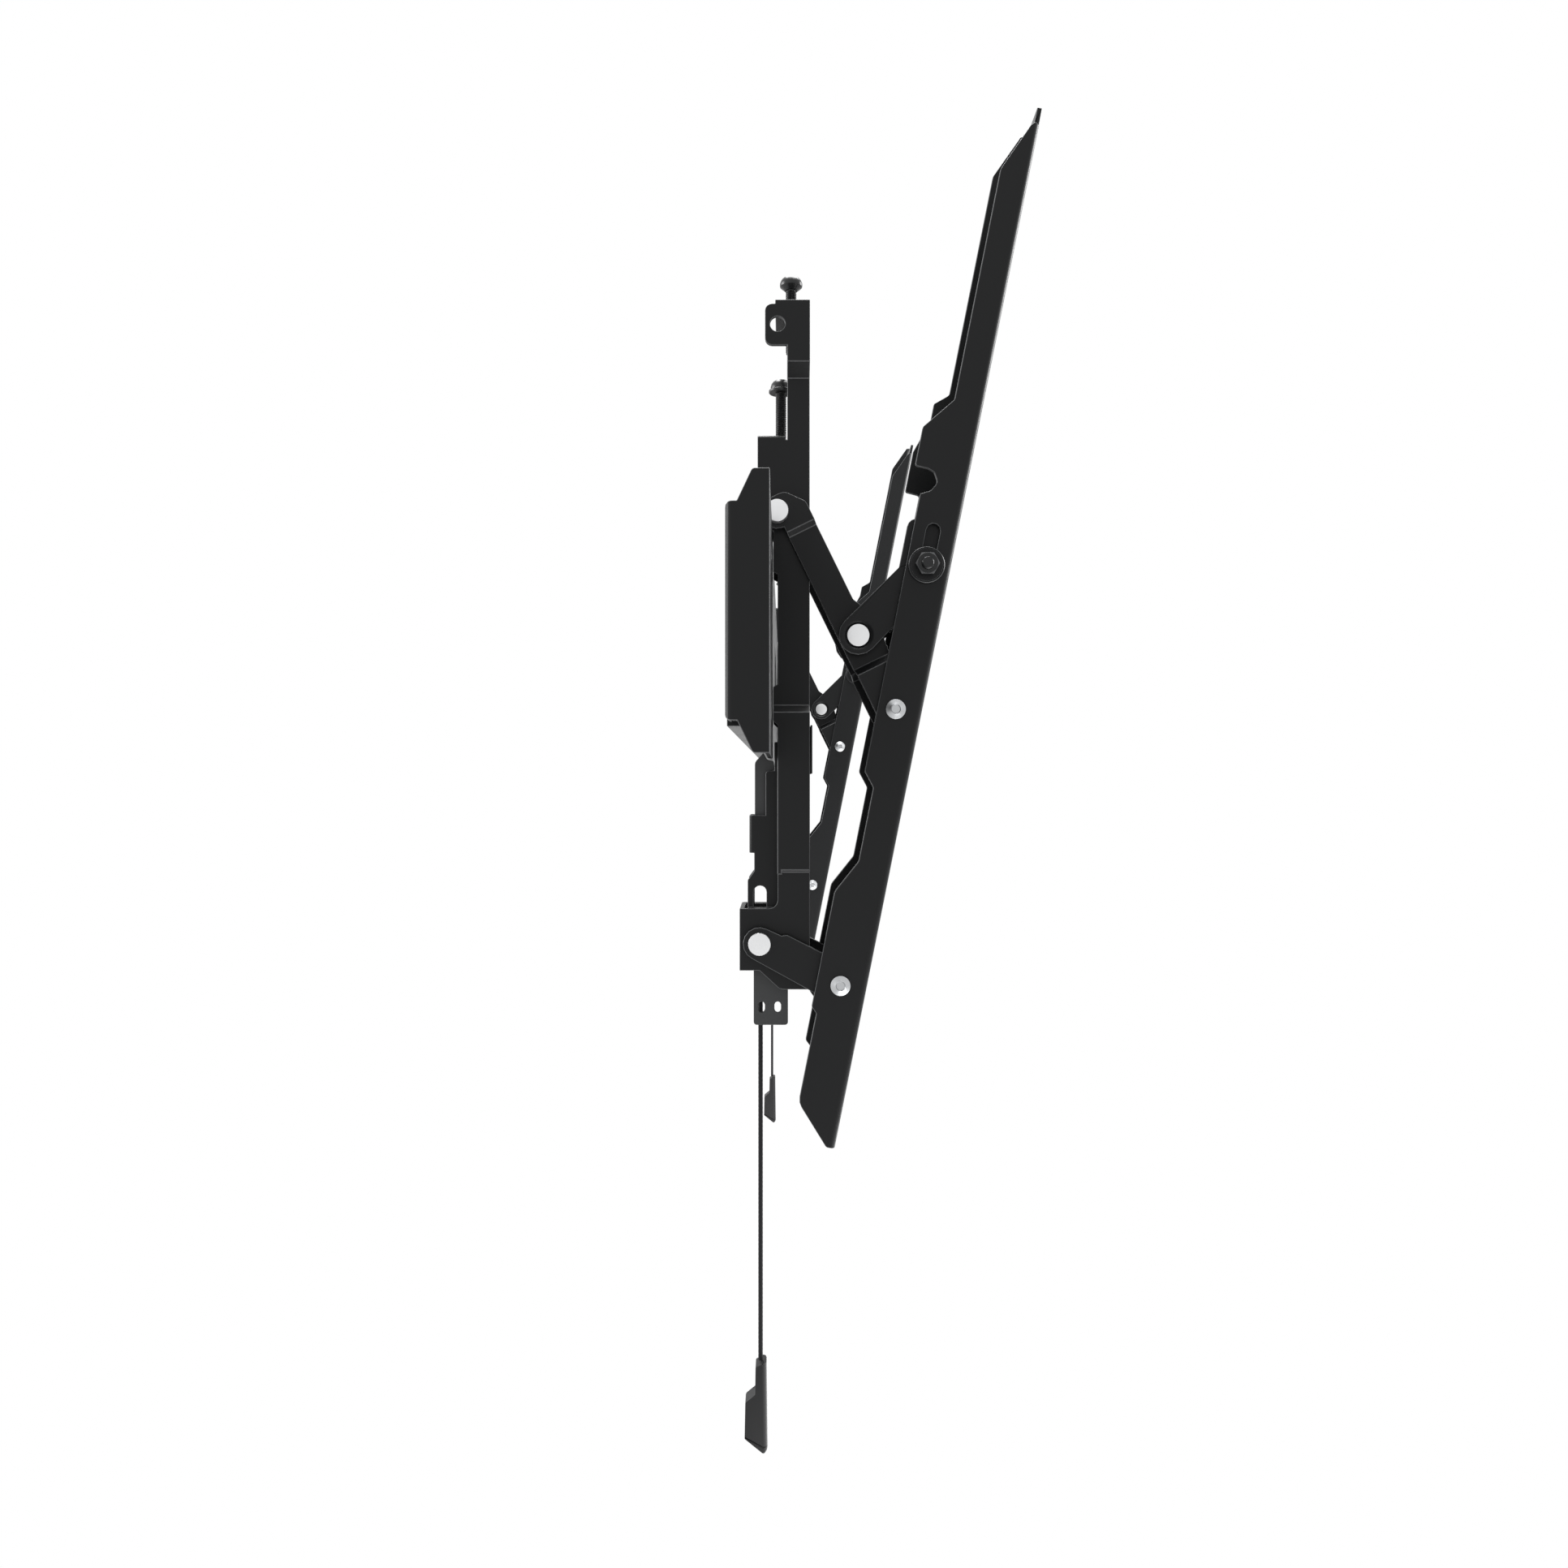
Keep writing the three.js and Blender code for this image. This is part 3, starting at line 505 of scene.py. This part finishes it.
def through_pin(node, head_depth):
    """Bright pin across the bracket with a low domed head at both ends."""
    half = [
        (0, 0), (PIN_HEAD_R - PIN_SOFT, 0), (PIN_HEAD_R - PIN_SOFT * 0.45, 0.00007),
        (PIN_HEAD_R, PIN_SOFT), (PIN_HEAD_R, head_depth), (PIN_SHAFT_R, head_depth),
    ]
    length = across(node)
    profile = half + [(radius, length - height) for radius, height in reversed(half)]
    bm = bmesh.new()
    add_lathe(bm, profile, lateral(node), ROUND)
    finish_mesh(node, bm, "pin_zinc")


def stub_pin(node, from_left):
    """Bright pin with a head at one end."""
    length = across(node)
    head, shaft, soft = PIN_HEAD_R, PIN_SHAFT_R, PIN_SOFT
    profile = [
        (0, 0), (head - soft, 0), (head - soft * 0.4, 0.00006), (head, soft), (head, STUB_HEAD_DEPTH),
        (shaft, STUB_HEAD_DEPTH), (shaft, length - soft), (shaft - soft, length), (0, length),
    ]
    bm = bmesh.new()
    add_lathe(bm, profile, lateral(node, from_left), ROUND)
    finish_mesh(node, bm, "pin_zinc")


def rivet(node, from_left):
    """Semi-tubular rivet: a rolled rim round a dished middle."""
    length = across(node)
    head, shaft, under = RIVET_HEAD_R, RIVET_SHAFT_R, 0.0014
    profile = [
        (0, 0.0005), (head * 0.41, 0.0005), (head * 0.45, 0.00018), (head * 0.49, 0), (head * 0.55, 0.0001),
        (head * 0.6, 0.00028), (head * 0.9, 0.0007), (head, 0.00095), (head * 0.99, under), (shaft, under),
        (shaft, length), (0, length),
    ]
    bm = bmesh.new()
    add_lathe(bm, profile, lateral(node, from_left), ROUND)
    finish_mesh(node, bm, "rivet_steel", 24)


# ---------- screws, nut, washers ----------
THREAD_PITCH = 0.0008
THREAD_DEPTH = THREAD_PITCH * 0.6
THREAD_AROUND = 28
THREAD_ROWS = 6        # rows of points in each turn


def add_thread(bm, place, bottom, top, major):
    """Helical vee thread between two heights, closed at both ends."""
    pitch = THREAD_PITCH
    rows = int((top - bottom) / pitch * THREAD_ROWS)
    rings = []
    for k in range(rows + 1):
        height = bottom + (top - bottom) * k / rows
        taper = min(1, (height - bottom) / pitch + 0.35, (top - height) / pitch + 0.35)
        ring = []
        for i in range(THREAD_AROUND):
            phase = (height / pitch - i / THREAD_AROUND) % 1
            radius = major - THREAD_DEPTH + THREAD_DEPTH * taper * (1 - abs(2 * phase - 1))
            angle = 2 * math.pi * i / THREAD_AROUND
            point = Vector((radius * math.cos(angle), radius * math.sin(angle), height))
            ring.append(bm.verts.new(place @ point))
        rings.append(ring)
    join_closed(bm, rings)


RECESS_REACH = 0.0025
RECESS_DEPTH = 0.0024


def cross_cutter(place, top):
    """Tapered cross for the recess in a screw head whose crown is at a height."""
    bm = bmesh.new()
    for turn in (0, 90):
        spin = place @ Matrix.Rotation(math.radians(turn), 4, "Z")
        box = bmesh.ops.create_cube(bm, size=1)["verts"]
        for vert in box:
            deep = vert.co.z < 0
            vert.co.x *= 2 * RECESS_REACH * (0.45 if deep else 1.1)
            vert.co.y *= RECESS_REACH * (0.28 if deep else 0.42)
            vert.co.z = top - RECESS_DEPTH if deep else top + 0.001
            vert.co = spin @ vert.co
    mesh = bpy.data.meshes.new("cutter")
    bm.to_mesh(mesh)
    bm.free()
    cutter = bpy.data.objects.new("cutter", mesh)
    bpy.context.scene.collection.objects.link(cutter)
    return cutter


def cut_with(bm, cutter):
    """Boolean cut of a bmesh by an object, which is then removed."""
    mesh = bpy.data.meshes.new("head")
    bm.to_mesh(mesh)
    head = bpy.data.objects.new("head", mesh)
    bpy.context.scene.collection.objects.link(head)
    boolean = head.modifiers.new("cut", "BOOLEAN")
    boolean.object = cutter
    boolean.operation = "DIFFERENCE"
    boolean.solver = "EXACT"
    boolean.use_self = True
    result = bpy.data.meshes.new_from_object(head.evaluated_get(bpy.context.evaluated_depsgraph_get()))
    bm.clear()
    bm.from_mesh(result)
    for thing in (head, cutter):
        bpy.data.objects.remove(thing)


# Screw heads as (radius, height above the head's underside)
FLANGED_HEAD = [
    (0, 0), (0.005, 0), (0.0053, 0.0003), (0.0053, 0.0011), (0.005, 0.0014), (0.00455, 0.0016),
    (0.00455, 0.0026), (0.0042, 0.0038), (0.0035, 0.0048), (0.0024, 0.0055), (0, 0.0056),
]
CONE_HEAD = [
    (0, 0), (0.0028, 0.0001), (0.0048, 0.0018), (0.0049, 0.0023), (0.0049, 0.003), (0.0047, 0.0037),
    (0.0042, 0.0047), (0.0036, 0.0053), (0.0028, 0.0056), (0, 0.0057),
]
SCREW_R = 0.0024


def cross_screw(node, head):
    """Threaded screw on a vertical axis, with a cross recess in its head."""
    low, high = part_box(node)
    centre = middle(node)
    place = Matrix.Translation((centre.x, centre.y, 0))
    under = high.z - head[-1][1]
    bm = bmesh.new()
    add_lathe(bm, [(radius, under + height) for radius, height in head], place, 56)
    bmesh.ops.recalc_face_normals(bm, faces=bm.faces)
    cut_with(bm, cross_cutter(place, high.z))
    add_thread(bm, place, low.z, under + 0.0002, SCREW_R)
    finish_mesh(node, bm, "screw", 30)


HEX_FLATS = 0.0088     # M5 hexagon, across its flats
HEX_SHOULDER = HEX_FLATS / 2 * 0.96
HEX_AROUND = 72
CHAMFER = math.tan(math.radians(28))


def hexagon_radius(angle):
    sector = math.radians(60)
    return HEX_FLATS / 2 / math.cos((angle + sector / 2) % sector - sector / 2)


def add_hexagon(bm, place, low, high, bore):
    """Chamfered hexagon with a bore, standing on its local Z axis."""
    def ring(radius_of, base, drop):
        verts = []
        for i in range(HEX_AROUND):
            angle = 2 * math.pi * i / HEX_AROUND
            radius = radius_of(angle)
            height = base + max(0, radius - HEX_SHOULDER) * drop
            verts.append(bm.verts.new(place @ Vector((
                radius * math.cos(angle), radius * math.sin(angle), height,
            ))))
        return verts

    def shoulder(angle):
        return HEX_SHOULDER

    def inner(angle):
        return bore

    rings = [
        ring(inner, low, 0), ring(shoulder, low, 0), ring(hexagon_radius, low, CHAMFER),
        ring(hexagon_radius, high, -CHAMFER), ring(shoulder, high, 0), ring(inner, high, 0),
    ]
    join_all(bm, rings + rings[:1])


BOLT_HEAD = 0.0034     # height of the head
BOLT_THREAD = 0.016    # length of the thread


def add_cylinder(bm, place, radius, low, high, segments):
    add_lathe(bm, [(0, low), (radius, low), (radius, high), (0, high)], place, segments)


def slot_bolt(side):
    """Bolt with its thread at the left end and its head, closed by a plug, at the right."""
    node = f"{side}_slot_bolt"
    place = lateral(node)
    length = across(node)
    under = length - BOLT_HEAD
    bm = bmesh.new()
    add_thread(bm, place, 0.0, BOLT_THREAD, 0.0026)
    add_cylinder(bm, place, 0.0025, BOLT_THREAD - 0.0005, under, 32)
    add_hexagon(bm, place, under, length, 0.0006)
    add_cylinder(bm, place, 0.0007, under + 0.0005, length - 0.0003, 24)
    finish_mesh(node, bm, "black_zinc", 30)


def slot_nut(side):
    node = f"{side}_slot_nut"
    bm = bmesh.new()
    add_hexagon(bm, lateral(node), 0, across(node), 0.00268)
    # Lighter coat on the nut's chamfers: a painted highlight.
    paint_slope_highlights(bm)
    finish_mesh(node, bm, "black_zinc", 25)


WASHER_R = 0.0076
WASHER_BORE = 0.0027
WASHER_STEP = 0.0009   # width of the lowered rim
WASHER_SOFT = 0.00025  # how far the rim is lowered


def washer(node):
    """Flat washer with a lowered rim on both faces."""
    thick = across(node)
    half = [
        (WASHER_BORE, 0), (WASHER_R - WASHER_STEP, 0), (WASHER_R - WASHER_STEP + 0.0001, WASHER_SOFT),
        (WASHER_R - WASHER_SOFT, WASHER_SOFT), (WASHER_R, 2 * WASHER_SOFT),
    ]
    profile = half + [(radius, thick - height) for radius, height in reversed(half)] + [(WASHER_BORE, 0)]
    bm = bmesh.new()
    add_lathe(bm, profile, lateral(node), ROUND)
    bmesh.ops.remove_doubles(bm, verts=bm.verts, dist=1e-6)
    # Lighter coat on the washer's rim slopes: a painted highlight.
    paint_slope_highlights(bm)
    finish_mesh(node, bm, "powder_coat", 30)


# ---------- latch spring ----------
WIRE_R = 0.00042
WIRE_AROUND = 8
COIL_R = 0.0024
COIL_TURNS = 17
COIL_POINTS = 16       # points in each turn
SPRING_TAIL = 0.006


def latch_spring(side):
    """Tension spring with a straight tail at both ends."""
    node = f"{side}_latch_spring"
    low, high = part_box(node)
    centre = middle(node)
    top, bottom = high.z - WIRE_R, low.z + WIRE_R
    count = COIL_TURNS * COIL_POINTS
    points = [Vector((0, 0, top)), Vector((0, 0, top - SPRING_TAIL * 0.55))]
    for k in range(count + 1):
        share = k / count
        angle = 2 * math.pi * COIL_TURNS * share
        z = top - SPRING_TAIL + (bottom - top + 2 * SPRING_TAIL) * share
        points.append(Vector((COIL_R * math.cos(angle), COIL_R * math.sin(angle), z)))
    points += [Vector((0, 0, bottom + SPRING_TAIL * 0.55)), Vector((0, 0, bottom))]
    place = Matrix.Translation((centre.x, centre.y, 0))
    bm = bmesh.new()
    add_wire(bm, [place @ point for point in points], WIRE_R)
    piece = finish_mesh(node, bm, "spring_steel", 60, rides=False)
    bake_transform(piece)


def add_wire(bm, points, radius):
    """Round wire through a list of points."""
    turns = [2 * math.pi * i / WIRE_AROUND for i in range(WIRE_AROUND)]
    rings = []
    square = Vector((0, 1, 0))
    for k, point in enumerate(points):
        ahead = points[min(k + 1, len(points) - 1)] - points[max(k - 1, 0)]
        ahead.normalize()
        square = (square - ahead * square.dot(ahead)).normalized()
        other = ahead.cross(square)
        rings.append([
            bm.verts.new(point + radius * (square * math.cos(turn) + other * math.sin(turn)))
            for turn in turns
        ])
    join_closed(bm, rings)


# ---------- assembly ----------
CUP_RIM_R = 0.0051     # rim of the cup that each pin of the tilt link sits in
SMALL_EDGE = 0.00015   # edge softening of the pad and the ferrule
SHEET_PIECES = {
    "hook_channel": "powder_coat",
    "upper_arm": "powder_coat",
    "lower_arm": "powder_coat",
    "tv_bracket": "powder_coat",
    "latch_plate": "latch_coat",
    "lip_saddle": "latch_coat",
}


def link_cups(side):
    """Rims of the two cups round the tilt link's pins."""
    low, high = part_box(f"{side}_tilt_link")
    centre = middle(f"{side}_link_pin_left")
    return [(centre, CUP_RIM_R, x) for x in (low.x, high.x)]


def make_pieces():
    refined("wall_plate", "powder_coat")
    for node in ("upper_wall_rail", "lower_wall_rail"):
        refined(node, "powder_coat", folded=True)
    for side in SIDES:
        for word, slot in SHEET_PIECES.items():
            refined(f"{side}_{word}", slot, folded=True)
        refined(f"{side}_tilt_link", "powder_coat", cups=link_cups(side))
        refined(f"{side}_bumper_pad", "rubber", SMALL_EDGE)
        refined(f"{side}_cord_ferrule", "spring_steel", SMALL_EDGE)
        through_pin(f"{side}_upper_pivot_pin", UPPER_HEAD_DEPTH)
        through_pin(f"{side}_lower_pivot_pin", LOWER_HEAD_DEPTH)
        for word in ("left", "right"):
            stub_pin(f"{side}_link_pin_{word}", word == "left")
            rivet(f"{side}_arm_rivet_{word}", word == "left")
            rivet(f"{side}_foot_rivet_{word}", word == "left")
            washer(f"{side}_slot_washer_{word}")
        cross_screw(f"{side}_height_screw", FLANGED_HEAD)
        cross_screw(f"{side}_lock_screw", CONE_HEAD)
        slot_bolt(side)
        slot_nut(side)
        latch_spring(side)


# ---------- studio ----------
FLOOR_Z = -0.5
# Softboxes: name, place, what it points at, size, power
LIGHTS = [
    ("over", (0.05, -0.1, 1.2), (-0.1, -0.06, 0), 1.0, 40),
    ("under", (-0.1, -0.1, -0.49), (-0.1, -0.06, 0), 0.8, 6),
    ("room_side", (0.4, -1.9, 0.6), (0, -0.06, 0), 1.2, 60),
    ("wall_side", (-0.1, 1.7, 0.4), (0, -0.06, 0), 1.2, 36),
]


def area_light(name, location, target, size, power):
    """Square softbox that the camera doesn't see."""
    data = bpy.data.lights.new(name, "AREA")
    data.shape = "SQUARE"
    data.size = size
    data.energy = power
    light = bpy.data.objects.new(name, data)
    light.location = location
    aim = Vector(target) - Vector(location)
    light.rotation_euler = aim.to_track_quat("-Z", "Y").to_euler()
    light.visible_camera = False
    bpy.context.scene.collection.objects.link(light)


def make_studio():
    """White world and a white floor that stays as bright as the world, with four softboxes."""
    world = bpy.data.worlds.new("studio")
    world.use_nodes = True
    background = world.node_tree.nodes["Background"]
    background.inputs["Color"].default_value = (1, 1, 1, 1)
    background.inputs["Strength"].default_value = 1.0
    bpy.context.scene.world = world
    bpy.ops.mesh.primitive_plane_add(size=30, location=(0, 0, FLOOR_Z))
    floor = bpy.context.active_object
    floor.name = "floor"
    material, shader = new_material("floor_white", (0, 0, 0), 1, 0, 0)
    shader.inputs["Emission Color"].default_value = (1, 1, 1, 1)
    shader.inputs["Emission Strength"].default_value = 1.0
    floor.data.materials.append(material)
    for light in LIGHTS:
        area_light(*light)
    view = bpy.context.scene.view_settings
    view.view_transform = "Standard"
    view.look = "None"


make_camera()
materials = make_materials()
make_cords()
make_pieces()
make_studio()
